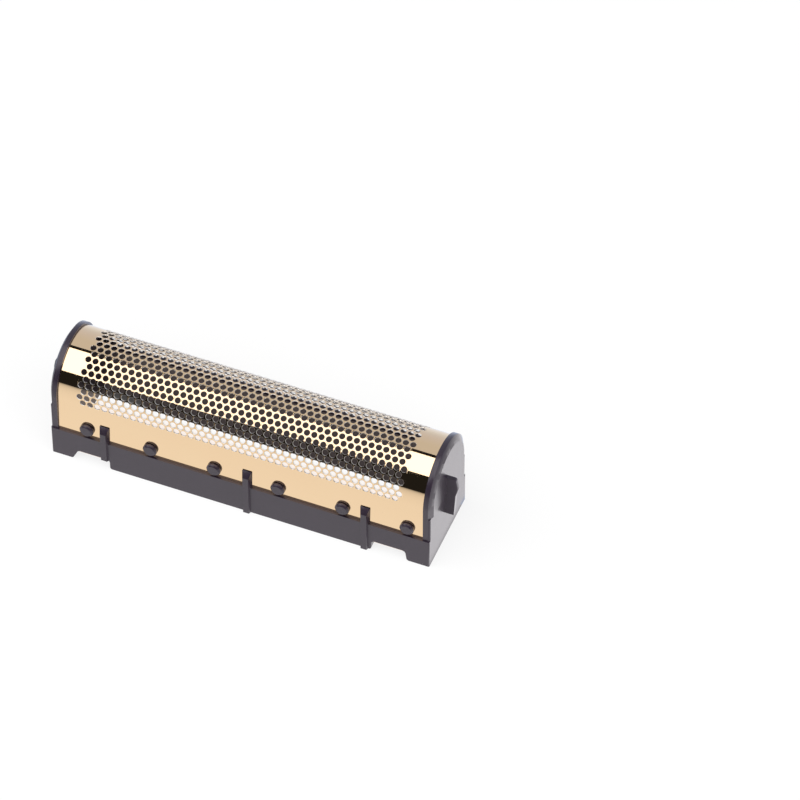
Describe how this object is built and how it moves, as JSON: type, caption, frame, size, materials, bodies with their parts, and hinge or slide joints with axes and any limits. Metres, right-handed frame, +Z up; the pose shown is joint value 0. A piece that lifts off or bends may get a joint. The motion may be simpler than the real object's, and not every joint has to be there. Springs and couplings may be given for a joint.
{
  "type": "shaver foil head",
  "caption": "Foil head for an electric shaver: an arched perforated foil staked over a moulded frame with closed ends, snap lugs and an open base.",
  "frame": {"origin": "on the resting face of the rails, below the middle of the head", "axes": "+X along the head, towards the right lug; +Y across it, from the front rail to the rear rail; +Z up, towards the crown of the foil"},
  "size_m": [0.049, 0.0116, 0.0143],
  "materials": {
    "moulding": "smooth moulded acetal",
    "foil": "bright rolled sheet"
  },
  "bodies": {
    "root": {"frame": "moulding", "foil": "foil"}
  },
  "joints": []
}
